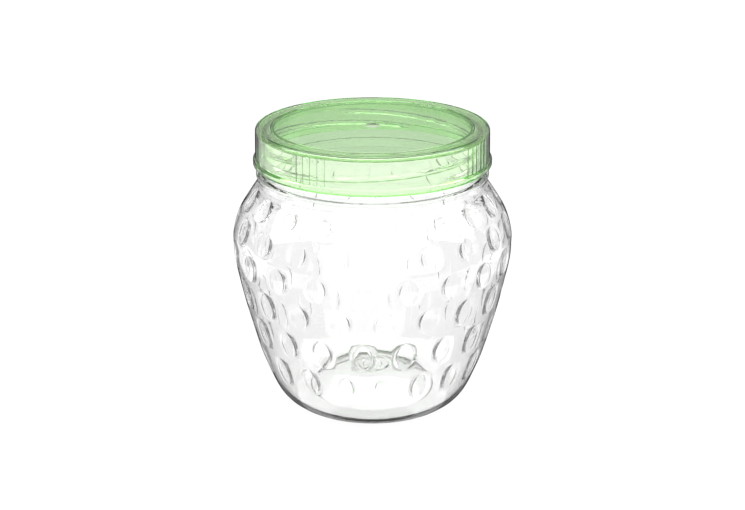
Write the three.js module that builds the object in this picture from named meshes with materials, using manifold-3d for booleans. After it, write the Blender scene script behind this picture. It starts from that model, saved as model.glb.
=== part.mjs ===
// A clear blow-moulded storage jar with a translucent green screw lid and the ring that seals it.
// Millimetres, +Z up, origin on the floor at the centre of the ring that the jar stands on.
// An azimuth is in degrees, from the front (-Y) towards +X. The lid is screwed down.

import * as THREE from "three";
import { mergeVertices } from "three/addons/utils/BufferGeometryUtils.js";
import Module from "manifold-3d";

// Jar: overall sizes
const JAR_HEIGHT = 121.2; // floor to mouth rim
const BELLY_RADIUS = 61.0; // widest part of the wall
const HEEL_RADIUS = 46.9; // wall radius where the rounded heel ends
const HEEL_HEIGHT = 13.0;
const STAND_RADIUS = 34.0; // outer edge of the flat ring that the jar stands on
const STAND_WIDTH = 6.5;
const WALL = 1.0; // blown wall

// Jar: push-up base
const BASE_WALL = 1.5; // left thicker round the gate
const DOME_RISE = 10.0;
const BOSS_RADIUS = 7.8; // flat disc round the gate
const BOSS_STEP = 0.5;
const GATE_RADIUS = 4.0;
const GATE_STEP = 0.9;
const GATE_DRAFT = 0.4;

// Jar: neck and its thread
const MOUTH_RADIUS = 45.2;
const NECK_WALL = 2.0;
const LEDGE_GAP = 3.65; // bare neck between the lid and the bead below it
const NECK_BEAD_STAND = 3.05; // how far the bead stands out from the neck
const NECK_BEAD_HEIGHT = 1.2;
const WAIST_STAND = 2.15; // how far the waist below the bead stands out from the neck
const WAIST_DROP = 4.4; // bead top to waist
const RIM_ROUND = 0.5;
const THREAD_STARTS = 3;
const THREAD_LEAD = 16.0; // rise of one turn, right-handed
const THREAD_TURN = 167; // degrees that each ridge covers
const THREAD_HEIGHT = 1.1;
const THREAD_ROOT = 1.9;
const THREAD_CREST = 1.1;
const THREAD_DROP = 3.1; // mouth rim to the upper end of a ridge
const THREAD_AZIMUTH = 35; // lower end of the first ridge
const RUN_OUT_TURN = 9; // degrees over which a ridge fades at each end

// Jar: dents pressed into the wall
const DENTS_AROUND = 20;
const DENT_DEPTH = 0.9;
const DENT_AZIMUTH = 5;

// Seal
const SEAL_THICKNESS = 1.0;
const SEAL_OVERLAP = 0.9; // how far it reaches past the rim, inwards and outwards
const SEAL_BEVEL = 0.2;
const SEAT_GAP = 0.3; // seal to rim, and seal to lid

// Lid
const LID_HEIGHT = 15.9;
const LID_PANEL = 1.35;
const LID_WALL = 1.35;
const LID_DRAFT = 0.35; // the skirt is wider below than above
const LID_ROUND = 1.6; // rounding of the top edge
const LID_BEAD_STAND = 0.95;
const LID_BEAD_HEIGHT = 2.9;
const LID_BEAD_ROUND = 0.45;
const PANEL_RADIUS = 42.3; // edge of the panel inside the raised rim
const PANEL_STEP = 0.4;
const MARK_RADIUS = 3.2; // gate mark in the middle of the panel
const MARK_DEPTH = 0.35;
const RETAINER_WALL = 1.2; // wall that keeps the seal in its seat
const RETAINER_DEPTH = 3.0;
const RETAINER_DRAFT = 0.2;
const THREAD_CLEARANCE = 0.4; // crest to the facing wall
const FLANK_GAP = 0.35; // lid ridge to the neck ridge above it
const LID_THREAD_ROOT = 1.7;
const LID_THREAD_CREST = 0.9;
const LID_THREAD_TURN = 45;
const LID_THREAD_RISE = 0.1; // lid's lower edge to the lower flank of a ridge

// Grip ribs on the lid
const RIB_GROUPS = 4;
const RIBS_IN_GROUP = 5;
const RIB_PITCH = 3.75; // degrees
const RIB_WIDTH = 1.95;
const RIB_STAND = 0.35;
const RIB_CREST_share = 0.75; // crest width over root width
const RIB_AZIMUTH = 59; // middle of the first group

// Facets
const COLUMNS_PER_DENT = 4;
const LID_COLUMNS = 52;
const SEAL_COLUMNS = 40;
const STEP_TURN = 8; // degrees along a ridge
const FULL_TURN = 360;
const BURY = 0.6; // how deep a ridge or rib starts below the face that it stands on

// Sizes that follow
const neckRadius = MOUTH_RADIUS + NECK_WALL;
const lidInner = neckRadius + THREAD_HEIGHT + THREAD_CLEARANCE;
const lidRadius = lidInner + LID_WALL;
const sealSeat = JAR_HEIGHT + SEAT_GAP;
const lidUnder = sealSeat + SEAL_THICKNESS + SEAT_GAP;
const lidTop = lidUnder + LID_PANEL;
const lidBottom = lidTop - LID_HEIGHT;
const ledgeHeight = lidBottom - LEDGE_GAP;
const waistRadius = neckRadius + WAIST_STAND;
const waistHeight = ledgeHeight - WAIST_DROP;
const domeRadius = STAND_RADIUS - STAND_WIDTH;

// The wall from the heel up to the belly, and from there to the waist: height, then how far it has swelled.
const lowerWallShares = [
  [0, 0],
  [0.105, 0.242],
  [0.22, 0.438],
  [0.357, 0.657],
  [0.495, 0.841],
  [0.621, 0.98],
];
const upperWallShares = [
  [0.688, 1],
  [0.75, 0.98],
  [0.839, 0.776],
  [0.931, 0.36],
  [1, 0],
];
// The rows of dents, from the heel up, as places along the wall's curve.
const dentRowShares = [0.115, 0.303, 0.49, 0.648, 0.792, 0.926];
const DENT_SHOULDER_share = 0.4; // where a dent reaches its full depth, of its half-length
// The heel's curve and the dome's: distance out, then height.
const heelShares = [[0.3, 0.04], [0.62, 0.2], [0.86, 0.5]];
const domeShares = [[1, 0], [0.9, 0.38], [0.62, 0.78]];

const wasm = await Module();
wasm.setup();

/** Merge the vertices that coincide and drop the triangles that this leaves without area. */
function weld(geometry) {
  const bare = geometry.clone();
  bare.deleteAttribute("normal");
  bare.deleteAttribute("uv");
  const welded = mergeVertices(bare);
  const kept = [];
  const index = welded.index.array;
  for (let i = 0; i < index.length; i += 3) {
    const [a, b, c] = [index[i], index[i + 1], index[i + 2]];
    if (a !== b && b !== c && c !== a) kept.push(a, b, c);
  }
  welded.setIndex(kept);
  return welded;
}

/** A closed, welded geometry as a solid that can be joined or cut. */
function toSolid(geometry) {
  const welded = weld(geometry);
  const vertProperties = new Float32Array(welded.attributes.position.array);
  const triVerts = new Uint32Array(welded.index.array);
  return new wasm.Manifold(new wasm.Mesh({ numProp: 3, vertProperties, triVerts }));
}

/** The geometry of a joined or cut solid. */
function toGeometry(solid) {
  const { vertProperties, triVerts } = solid.getMesh();
  const geometry = new THREE.BufferGeometry();
  geometry.setAttribute("position", new THREE.BufferAttribute(new Float32Array(vertProperties), 3));
  geometry.setIndex(new THREE.BufferAttribute(new Uint32Array(triVerts), 1));
  geometry.computeVertexNormals();
  return geometry;
}

/** Join a body and the pieces that grow out of it into one solid. */
function join(body, additions) {
  let solid = toSolid(body);
  for (const addition of additions) solid = solid.add(toSolid(addition));
  return toGeometry(solid);
}

/** Turn an outline of [radius, height] points about Z; the first column lies at the azimuth. */
function revolve(outline, columns, azimuth = 0) {
  const points = outline.map(([radius, height]) => new THREE.Vector2(radius, height));
  return new THREE.LatheGeometry(points, columns, THREE.MathUtils.degToRad(azimuth)).rotateX(Math.PI / 2);
}

/** The point at a radius, azimuth and height. */
function polar(radius, azimuth, height) {
  const angle = THREE.MathUtils.degToRad(azimuth);
  return new THREE.Vector3(radius * Math.sin(angle), -radius * Math.cos(angle), height);
}

/** A closed skin over sections that all have the same number of points, with flat ends. */
function loft(sections) {
  const corners = sections[0].length;
  const index = [];
  for (let s = 0; s + 1 < sections.length; s++) {
    for (let k = 0; k < corners; k++) {
      const a = s * corners + k;
      const b = s * corners + ((k + 1) % corners);
      index.push(a, b, b + corners, a, b + corners, a + corners);
    }
  }
  const last = (sections.length - 1) * corners;
  for (let k = 1; k + 1 < corners; k++) {
    index.push(0, k + 1, k);
    index.push(last, last + k, last + k + 1);
  }
  const geometry = new THREE.BufferGeometry().setFromPoints(sections.flat());
  geometry.setIndex(index);
  return geometry;
}

/** The azimuths of the sections of a ridge that covers a turn, in even steps. */
function ridgeSteps(turn) {
  const steps = Math.ceil(turn / STEP_TURN);
  return Array.from({ length: steps + 1 }, (_, i) => (turn * i) / steps);
}

/**
 * One ridge of a right-handed thread, on the outside of a wall (side 1) or the inside (side -1).
 * It starts at an azimuth and a height, and fades into the wall at both ends.
 */
function threadRidge({ wallRadius, side, stand, root, crest, azimuth, height, turn }) {
  const sections = ridgeSteps(turn).map((along) => {
    const fade = Math.min(1, along / RUN_OUT_TURN, (turn - along) / RUN_OUT_TURN);
    const foot = wallRadius - side * BURY;
    const tip = wallRadius + side * stand * fade;
    const middle = height + (THREAD_LEAD * along) / FULL_TURN;
    const section = [[foot, -root], [tip, -crest], [tip, crest], [foot, root]].map(
      ([radius, width]) => polar(radius, azimuth + along, middle + width / 2),
    );
    return side > 0 ? section.reverse() : section;
  });
  return loft(sections);
}

/** One ridge of the thread for each start, spaced evenly. */
function threadRidges(options) {
  return Array.from({ length: THREAD_STARTS }, (_, i) =>
    threadRidge({ ...options, azimuth: options.azimuth + (FULL_TURN * i) / THREAD_STARTS }),
  );
}

// Where the middle of a neck ridge lies at its lower end.
const neckRidgeFoot = JAR_HEIGHT - THREAD_DROP - (THREAD_LEAD * THREAD_TURN) / FULL_TURN;

/** The wall's outer curve, from the top of the heel to the waist, as radius and height. */
function wallCurve() {
  const rise = (share) => THREE.MathUtils.lerp(HEEL_HEIGHT, waistHeight, share);
  const lower = lowerWallShares.map(
    ([up, out]) => new THREE.Vector2(THREE.MathUtils.lerp(HEEL_RADIUS, BELLY_RADIUS, out), rise(up)),
  );
  const upper = upperWallShares.map(
    ([up, out]) => new THREE.Vector2(THREE.MathUtils.lerp(waistRadius, BELLY_RADIUS, out), rise(up)),
  );
  return new THREE.SplineCurve([...lower, ...upper]);
}

/**
 * The places along the wall's curve where the outline needs a point: the tips of each row of dents,
 * which two rows share, and the two places in each row where a dent is at full depth.
 */
function wallStations() {
  const rows = dentRowShares;
  const last = rows.length - 1;
  const tips = rows.slice(1).map((row, i) => (rows[i] + row) / 2);
  tips.unshift(Math.max(rows[0] - (tips[0] - rows[0]), 0));
  tips.push(Math.min(rows[last] + (rows[last] - tips[last]), 1));
  const stations = [{ place: tips[0], row: null }];
  rows.forEach((row, i) => {
    stations.push({ place: THREE.MathUtils.lerp(row, tips[i], DENT_SHOULDER_share), row: i });
    stations.push({ place: THREE.MathUtils.lerp(row, tips[i + 1], DENT_SHOULDER_share), row: i });
    stations.push({ place: tips[i + 1], row: null });
  });
  return stations;
}

/** The wall's outline, outer or inner, with each point's row of dents and the way out of the wall. */
function wallOutline(inset) {
  const curve = wallCurve();
  return wallStations().map(({ place, row }) => {
    const point = curve.getPointAt(place);
    const along = curve.getTangentAt(place);
    const outward = new THREE.Vector2(along.y, -along.x);
    point.addScaledVector(outward, -inset);
    return { at: [point.x, point.y], row, outward };
  });
}

/** The underside of the base from the gate to the floor, or, raised by a wall, the face inside the jar. */
function domeOutline(wall) {
  const dome = domeShares.map(([out, up]) => [domeRadius * out, DOME_RISE * up + wall]);
  return dome.reverse();
}

/** The rounded heel between the standing ring and the wall, drawn in by a wall. */
function heelOutline(wall) {
  return heelShares.map(([out, up]) => [
    STAND_RADIUS + (HEEL_RADIUS - wall - STAND_RADIUS) * out,
    wall + (HEEL_HEIGHT - wall) * up,
  ]);
}

/** The jar's outline, up its outside from the gate and down its inside, with any row of dents. */
function jarOutline() {
  const plain = (points) => points.map((at) => ({ at, row: null }));
  const boss = DOME_RISE + BASE_WALL;
  const beadRadius = neckRadius + NECK_BEAD_STAND;
  const base = plain([
    [0, DOME_RISE - GATE_STEP],
    [GATE_RADIUS, DOME_RISE - GATE_STEP],
    [GATE_RADIUS + GATE_DRAFT, DOME_RISE],
    [BOSS_RADIUS, DOME_RISE],
    ...domeOutline(0),
    [STAND_RADIUS, 0],
    ...heelOutline(0),
  ]);
  const neck = plain([
    [beadRadius, ledgeHeight - NECK_BEAD_HEIGHT],
    [beadRadius, ledgeHeight - RIM_ROUND],
    [neckRadius, ledgeHeight],
    [neckRadius, JAR_HEIGHT - RIM_ROUND],
    [neckRadius - RIM_ROUND, JAR_HEIGHT],
    [MOUTH_RADIUS + RIM_ROUND, JAR_HEIGHT],
    [MOUTH_RADIUS, JAR_HEIGHT - RIM_ROUND],
    [MOUTH_RADIUS, ledgeHeight - NECK_BEAD_HEIGHT],
  ]);
  const floor = plain([
    ...heelOutline(BASE_WALL).reverse(),
    [STAND_RADIUS, BASE_WALL],
    ...domeOutline(BASE_WALL).reverse(),
    [BOSS_RADIUS, boss - BOSS_STEP],
    [BOSS_RADIUS - BOSS_STEP, boss],
    [0, boss],
  ]);
  return [...base, ...wallOutline(0), ...neck, ...wallOutline(WALL).reverse(), ...floor];
}

/** Whether a dent is at full depth at a column and a point; every other row turns by half a pitch. */
function isPressed(column, { row }) {
  if (row === null) return false;
  const turned = ((row % 2) * COLUMNS_PER_DENT) / 2;
  return (column + turned) % COLUMNS_PER_DENT === 0;
}

/** Draw one vertex into the wall by the depth of a dent. */
function press(position, vertex, outward) {
  const radius = Math.hypot(position.getX(vertex), position.getY(vertex));
  const drawnIn = 1 - (DENT_DEPTH * outward.x) / radius;
  position.setX(vertex, position.getX(vertex) * drawnIn);
  position.setY(vertex, position.getY(vertex) * drawnIn);
  position.setZ(vertex, position.getZ(vertex) - DENT_DEPTH * outward.y);
}

/** Press the dents into a revolved jar, and fold each facet beside a dent along the dent's edge. */
function pressDents(geometry, outline, columns) {
  const { index, attributes } = geometry;
  const count = outline.length;
  for (let column = 0; column <= columns; column++) {
    outline.forEach((point, k) => {
      const a = column * count + k;
      if (isPressed(column, point)) press(attributes.position, a, point.outward);
      if (column === columns || k + 1 === count) return;
      const above = outline[k + 1];
      const kept = isPressed(column, point) || isPressed(column + 1, above);
      const folded = isPressed(column + 1, point) || isPressed(column, above);
      if (kept || !folded) return;
      const [b, c, d] = [a + count, a + count + 1, a + 1];
      const facets = [a, b, c, a, c, d];
      const first = (column * (count - 1) + k) * facets.length;
      facets.forEach((vertex, i) => index.setX(first + i, vertex));
    });
  }
}

/** The clear jar: one blown shell with its dents, neck, bead, push-up base and thread. */
function makeJar() {
  const columns = DENTS_AROUND * COLUMNS_PER_DENT;
  const outline = jarOutline();
  const points = outline.map(({ at }) => at);
  const shell = revolve(points, columns, DENT_AZIMUTH);
  pressDents(shell, outline, columns);
  const ridges = threadRidges({
    wallRadius: neckRadius,
    side: 1,
    stand: THREAD_HEIGHT,
    root: THREAD_ROOT,
    crest: THREAD_CREST,
    azimuth: THREAD_AZIMUTH,
    height: neckRidgeFoot,
    turn: THREAD_TURN,
  });
  return join(shell, ridges);
}

/** The lid's shell: panel, wall that keeps the seal, skirt, bead and rounded rim. */
function lidShell() {
  const skirtFoot = lidRadius + LID_DRAFT;
  const beadRadius = skirtFoot + LID_BEAD_STAND;
  const retainerInner = PANEL_RADIUS;
  const retainerOuter = PANEL_RADIUS + RETAINER_WALL;
  const roundMiddle = LID_ROUND * (1 - Math.SQRT1_2);
  const panelTop = lidTop - PANEL_STEP;
  return revolve([
    [0, lidUnder],
    [retainerInner, lidUnder],
    [retainerInner + RETAINER_DRAFT, lidUnder - RETAINER_DEPTH],
    [retainerOuter - RETAINER_DRAFT, lidUnder - RETAINER_DEPTH],
    [retainerOuter, lidUnder],
    [lidInner, lidUnder],
    [lidInner, lidBottom + LID_BEAD_ROUND],
    [lidInner + LID_BEAD_ROUND, lidBottom],
    [beadRadius - LID_BEAD_ROUND, lidBottom],
    [beadRadius, lidBottom + LID_BEAD_ROUND],
    [beadRadius, lidBottom + LID_BEAD_HEIGHT - LID_BEAD_ROUND],
    [skirtFoot, lidBottom + LID_BEAD_HEIGHT],
    [lidRadius, lidTop - LID_ROUND],
    [lidRadius - roundMiddle, lidTop - roundMiddle],
    [lidRadius - LID_ROUND, lidTop],
    [PANEL_RADIUS + PANEL_STEP, lidTop],
    [PANEL_RADIUS, panelTop],
    [MARK_RADIUS, panelTop],
    [MARK_RADIUS - MARK_DEPTH, panelTop - MARK_DEPTH],
    [0, panelTop - MARK_DEPTH],
  ], LID_COLUMNS);
}

/** One upright grip rib, which leans with the skirt's draft. */
function gripRib(azimuth) {
  const foot = lidBottom + LID_BEAD_HEIGHT - LID_BEAD_ROUND;
  const head = lidTop - LID_ROUND;
  const crest = RIB_WIDTH * RIB_CREST_share;
  const section = (height, wallRadius, stand) => [
    [wallRadius - BURY, RIB_WIDTH],
    [wallRadius - BURY, -RIB_WIDTH],
    [wallRadius + stand, -crest],
    [wallRadius + stand, crest],
  ].map(([radius, width]) => new THREE.Vector3(width / 2, -radius, height));
  const rib = loft([section(foot, lidRadius + LID_DRAFT, RIB_STAND), section(head, lidRadius, RIB_STAND)]);
  return rib.rotateZ(THREE.MathUtils.degToRad(azimuth));
}

/** All the grip ribs, in evenly spaced groups. */
function gripRibs() {
  const ribs = [];
  for (let group = 0; group < RIB_GROUPS; group++) {
    for (let i = 0; i < RIBS_IN_GROUP; i++) {
      const offset = (i - (RIBS_IN_GROUP - 1) / 2) * RIB_PITCH;
      ribs.push(gripRib(RIB_AZIMUTH + (FULL_TURN * group) / RIB_GROUPS + offset));
    }
  }
  return ribs;
}

/** The green lid: its shell, its grip ribs and the ridges that run below the neck's. */
function makeLid() {
  const height = lidBottom + LID_THREAD_RISE + LID_THREAD_ROOT / 2;
  const belowNeckRidge = (THREAD_ROOT + LID_THREAD_ROOT) / 2 + FLANK_GAP;
  const climb = height + belowNeckRidge - neckRidgeFoot;
  const ridges = threadRidges({
    wallRadius: lidInner,
    side: -1,
    stand: THREAD_HEIGHT,
    root: LID_THREAD_ROOT,
    crest: LID_THREAD_CREST,
    azimuth: THREAD_AZIMUTH + (FULL_TURN * climb) / THREAD_LEAD,
    height,
    turn: LID_THREAD_TURN,
  });
  return join(lidShell(), [...gripRibs(), ...ridges]);
}

/** The flat ring between the mouth rim and the lid. */
function makeSeal() {
  const inner = MOUTH_RADIUS - SEAL_OVERLAP;
  const outer = neckRadius + SEAL_OVERLAP;
  const top = sealSeat + SEAL_THICKNESS;
  const outline = [
    [inner, sealSeat],
    [outer - SEAL_BEVEL, sealSeat],
    [outer, sealSeat + SEAL_BEVEL],
    [outer, top - SEAL_BEVEL],
    [outer - SEAL_BEVEL, top],
    [inner, top],
  ];
  return weld(revolve([...outline, outline[0]], SEAL_COLUMNS));
}

/** A see-through plastic of one colour. */
function plastic(color, roughness, opacity) {
  return new THREE.MeshStandardMaterial({ color, roughness, metalness: 0, transparent: true, opacity });
}

/** Clear blown polyester, as glossy as the mould. */
function clearPet() {
  return plastic(0xf2f5f4, 0.05, 0.35);
}

/** Translucent green polypropylene, moulded glossy. */
function greenPolypropylene() {
  return plastic(0xb4e8a0, 0.18, 0.6);
}

/** Milky soft elastomer. */
function clearElastomer() {
  return plastic(0xdfeeda, 0.4, 0.7);
}

/** A named piece of the jar. */
function piece(name, geometry, material) {
  const mesh = new THREE.Mesh(geometry, material);
  mesh.name = name;
  return mesh;
}

const jar = new THREE.Group();
jar.add(piece("jar_body", makeJar(), clearPet()));
jar.add(piece("sealing_ring", makeSeal(), clearElastomer()));
jar.add(piece("lid", makeLid(), greenPolypropylene()));

export default jar;
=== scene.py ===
"""A clear blown storage jar with a translucent green screw lid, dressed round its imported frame.

Metres, +Z up, the jar's axis on Z. An azimuth is in degrees, from the front (-Y) towards +X.
"""

import logging
import math
from bisect import bisect_right
from dataclasses import dataclass
from enum import Enum
from typing import Callable, ClassVar, TypeVar

import bmesh
import bpy
from mathutils import Euler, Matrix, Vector
from mathutils.geometry import interpolate_bezier


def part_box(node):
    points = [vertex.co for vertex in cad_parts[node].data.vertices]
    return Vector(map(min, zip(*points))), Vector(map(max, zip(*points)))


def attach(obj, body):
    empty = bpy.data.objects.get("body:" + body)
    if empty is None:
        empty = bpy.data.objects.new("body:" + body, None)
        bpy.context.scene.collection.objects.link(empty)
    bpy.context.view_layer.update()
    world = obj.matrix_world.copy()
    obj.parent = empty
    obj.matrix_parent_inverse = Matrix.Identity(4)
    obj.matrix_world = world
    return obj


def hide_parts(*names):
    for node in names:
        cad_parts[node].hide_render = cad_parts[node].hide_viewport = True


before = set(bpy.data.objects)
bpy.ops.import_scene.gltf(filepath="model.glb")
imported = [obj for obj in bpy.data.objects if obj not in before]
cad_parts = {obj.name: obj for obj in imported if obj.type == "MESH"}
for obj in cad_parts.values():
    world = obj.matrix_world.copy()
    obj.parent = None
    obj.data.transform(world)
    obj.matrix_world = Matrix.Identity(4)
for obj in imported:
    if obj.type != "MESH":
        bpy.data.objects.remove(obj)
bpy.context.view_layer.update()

log = logging.getLogger("jar")

Shares = tuple[tuple[float, float], ...]
Number = TypeVar("Number", int, float)

MM = 0.001
FULL_TURN = 360.0
WHITE = (1.0, 1.0, 1.0, 1.0)
ARC_STEP = math.radians(20)  # one facet of a rounded edge
WELD = 0.004 * MM  # points closer than this are one
ON_WALL = 0.05 * MM  # a point this near to a wall's radius lies on the wall
COLUMNS_PER_DEGREE = 20  # the most columns of points that are told apart
PANEL_RADIUS = 42.3 * MM  # the lid's flat panel
SAME_COUNT = 0.5  # counts that differ by less than this are the same
TURNED = "turned"  # vertex group of the surfaces that are spun
MIX_FIRST, MIX_SECOND, MIX_RESULT = 6, 7, 2  # a Mix node's sockets for colours


class Side(Enum):
    """The side of a wall that is meant, and which way out of the wall is from there."""

    OUTSIDE = 1
    INSIDE = -1


@dataclass(frozen=True)
class Corner:
    """A corner of an outline: how far out from the axis, how high, and the radius that rounds it."""

    out: float
    up: float
    round: float = 0.0

    @property
    def at(self) -> Vector:
        """The corner's place in the outline's plane."""
        return Vector((self.out, self.up))


def clamped(value: Number, low: Number, high: Number) -> Number:
    """Keep a value between two bounds."""
    return min(max(value, low), high)


def eased(share: float) -> float:
    """Turn a share into one that leaves 0 and reaches 1 without a kink."""
    return share * share * (3 - 2 * share)


def polar(out: float, azimuth: float, up: float) -> Vector:
    """Find the point at a distance from the axis, an azimuth and a height."""
    angle = math.radians(azimuth)
    return Vector((out * math.sin(angle), -out * math.cos(angle), up))


def azimuth_of(point: Vector) -> float:
    """Return a point's azimuth, from 0 up to 360 degrees."""
    return math.degrees(math.atan2(point.x, -point.y)) % FULL_TURN


def turn_between(first: float, second: float) -> float:
    """Return the turn from one azimuth to another, between minus and plus half a turn."""
    return (second - first + FULL_TURN / 2) % FULL_TURN - FULL_TURN / 2


def rounded(corners: list[Corner]) -> list[Vector]:
    """Turn corners into an outline, with an arc at each one that has a radius.

    Args:
        corners: The corners in order; the first and the last stay sharp.

    Returns:
        The outline's points, as distance out and height.
    """
    points = [corners[0].at]
    for before, corner, after in zip(corners, corners[1:], corners[2:]):
        back, on = before.at - corner.at, after.at - corner.at
        half = back.angle(on) / 2
        reach = min(corner.round / math.tan(half), back.length / 2, on.length / 2)
        if reach < WELD:
            points.append(corner.at)
            continue
        middle = (back.normalized() + on.normalized()).normalized() * reach / math.cos(half)
        start, end = back.normalized() * reach - middle, on.normalized() * reach - middle
        steps = max(2, math.ceil((math.pi - 2 * half) / ARC_STEP))
        for step in range(steps + 1):
            spoke = start.lerp(end, step / steps).normalized() * start.length
            points.append(corner.at + middle + spoke)
    points.append(corners[-1].at)
    return points


def curved(start: Vector, lead: Vector, arrival: Vector, end: Vector, steps: int) -> list[Vector]:
    """Sweep a smooth curve that leaves its start towards one handle and reaches its end from another."""
    flat = [Vector((*point, 0)) for point in (start, lead, arrival, end)]
    return [point.xy for point in interpolate_bezier(*flat, steps + 1)]


def divided(points: list[Vector], low: float, high: float, step: float) -> list[Vector]:
    """Divide the upright stretch of an outline that spans a band of heights, so that ridges fit on it.

    Args:
        points: The outline.
        low: Lower end of the band.
        high: Upper end of the band.
        step: Height between the new points.

    Returns:
        The outline with the new points in it.
    """
    made = [points[0]]
    for before, after in zip(points, points[1:]):
        bottom, top = sorted((before.y, after.y))
        if abs(before.x - after.x) < abs(before.y - after.y) and bottom < low and top > high:
            count = math.ceil((high - low) / step)
            heights = [low + (high - low) * i / count for i in range(count + 1)]
            if before.y > after.y:
                heights.reverse()
            for height in heights:
                made.append(before.lerp(after, (height - before.y) / (after.y - before.y)))
        made.append(after)
    return made


class Bench:
    """The few moves that every piece is modelled with."""

    @staticmethod
    def clear() -> None:
        """Deselect everything, because an operator acts on all that is selected."""
        bpy.ops.object.select_all(action="DESELECT")

    @staticmethod
    def pick(*pieces: bpy.types.Object) -> None:
        """Select some pieces and no others, and make the first one active.

        Args:
            pieces: The pieces.
        """
        Bench.clear()
        for piece in pieces:
            piece.select_set(True)
        bpy.context.view_layer.objects.active = pieces[0]

    @staticmethod
    def mode(name: str) -> None:
        """Change between EDIT and OBJECT mode."""
        bpy.ops.object.mode_set(mode=name)

    @staticmethod
    def turned(name: str, outline: list[Vector], columns: int, azimuth: float = 0.0) -> bpy.types.Object:
        """Draw an outline point by point and spin it round the axis.

        Args:
            name: Name of the piece.
            outline: Points as distance out and height.
            columns: Facets round the axis.
            azimuth: Where the outline is drawn.

        Returns:
            The turned piece.
        """
        Bench.clear()
        bpy.ops.mesh.primitive_plane_add(size=MM, location=(0, 0, 0))
        piece = bpy.context.object
        piece.name = piece.data.name = name
        Bench.mode("EDIT")
        bpy.ops.mesh.merge(type="CENTER")
        places = [polar(point.x, azimuth, point.y) for point in outline]
        bpy.ops.transform.translate(value=places[0])
        for here, there in zip(places, places[1:]):
            bpy.ops.mesh.extrude_region_move(TRANSFORM_OT_translate={"value": there - here})
        bpy.ops.mesh.select_all(action="SELECT")
        bpy.ops.mesh.spin(steps=columns, angle=math.tau, center=(0, 0, 0), axis=(0, 0, 1))
        bpy.ops.mesh.select_all(action="SELECT")
        bpy.ops.mesh.remove_doubles(threshold=WELD)
        Bench.mode("OBJECT")
        group = piece.vertex_groups.new(name=TURNED)
        group.add(range(len(piece.data.vertices)), 1.0, "REPLACE")
        return piece

    @staticmethod
    def modified(piece: bpy.types.Object, kind: str, **settings: object) -> None:
        """Add a modifier to a piece and apply it.

        Args:
            piece: The piece.
            kind: The modifier's type.
            settings: Properties of the modifier.
        """
        Bench.pick(piece)
        modifier = piece.modifiers.new(kind.lower(), kind)
        for name, value in settings.items():
            setattr(modifier, name, value)
        bpy.ops.object.modifier_apply(modifier=modifier.name)

    @staticmethod
    def joined(name: str, pieces: list[bpy.types.Object]) -> bpy.types.Object:
        """Join pieces into the first one.

        Args:
            name: Name of the result.
            pieces: The pieces, which must all be meshes.

        Returns:
            The joined piece.
        """
        Bench.pick(*pieces)
        bpy.ops.object.join()
        whole = bpy.context.object
        whole.name = whole.data.name = name
        return whole

    @staticmethod
    def sealed(piece: bpy.types.Object, crisp_angle: float) -> None:
        """Weld a piece's seams, turn its faces outwards and smooth it.

        Args:
            piece: The piece.
            crisp_angle: Edges that turn by more degrees than this stay crisp.
        """
        Bench.pick(piece)
        Bench.mode("EDIT")
        bpy.ops.mesh.select_all(action="SELECT")
        bpy.ops.mesh.remove_doubles(threshold=WELD)
        bpy.ops.mesh.normals_make_consistent(inside=False)
        Bench.mode("OBJECT")
        bpy.ops.object.shade_smooth_by_angle(angle=math.radians(crisp_angle))

    @staticmethod
    def flattened(piece: bpy.types.Object) -> None:
        """Let the wide faces of the turned parts shade flat, so that only rounded edges bend the light."""
        Bench.modified(piece, "WEIGHTED_NORMAL", keep_sharp=True, vertex_group=TURNED)

    @staticmethod
    def reshape(piece: bpy.types.Object, move: Callable[[Vector], Vector]) -> None:
        """Move every point of a piece by one rule.

        Args:
            piece: The piece.
            move: The rule, from a point's old place to its new one.
        """
        for vertex in piece.data.vertices:
            vertex.co = move(vertex.co)
        piece.data.update()


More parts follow.
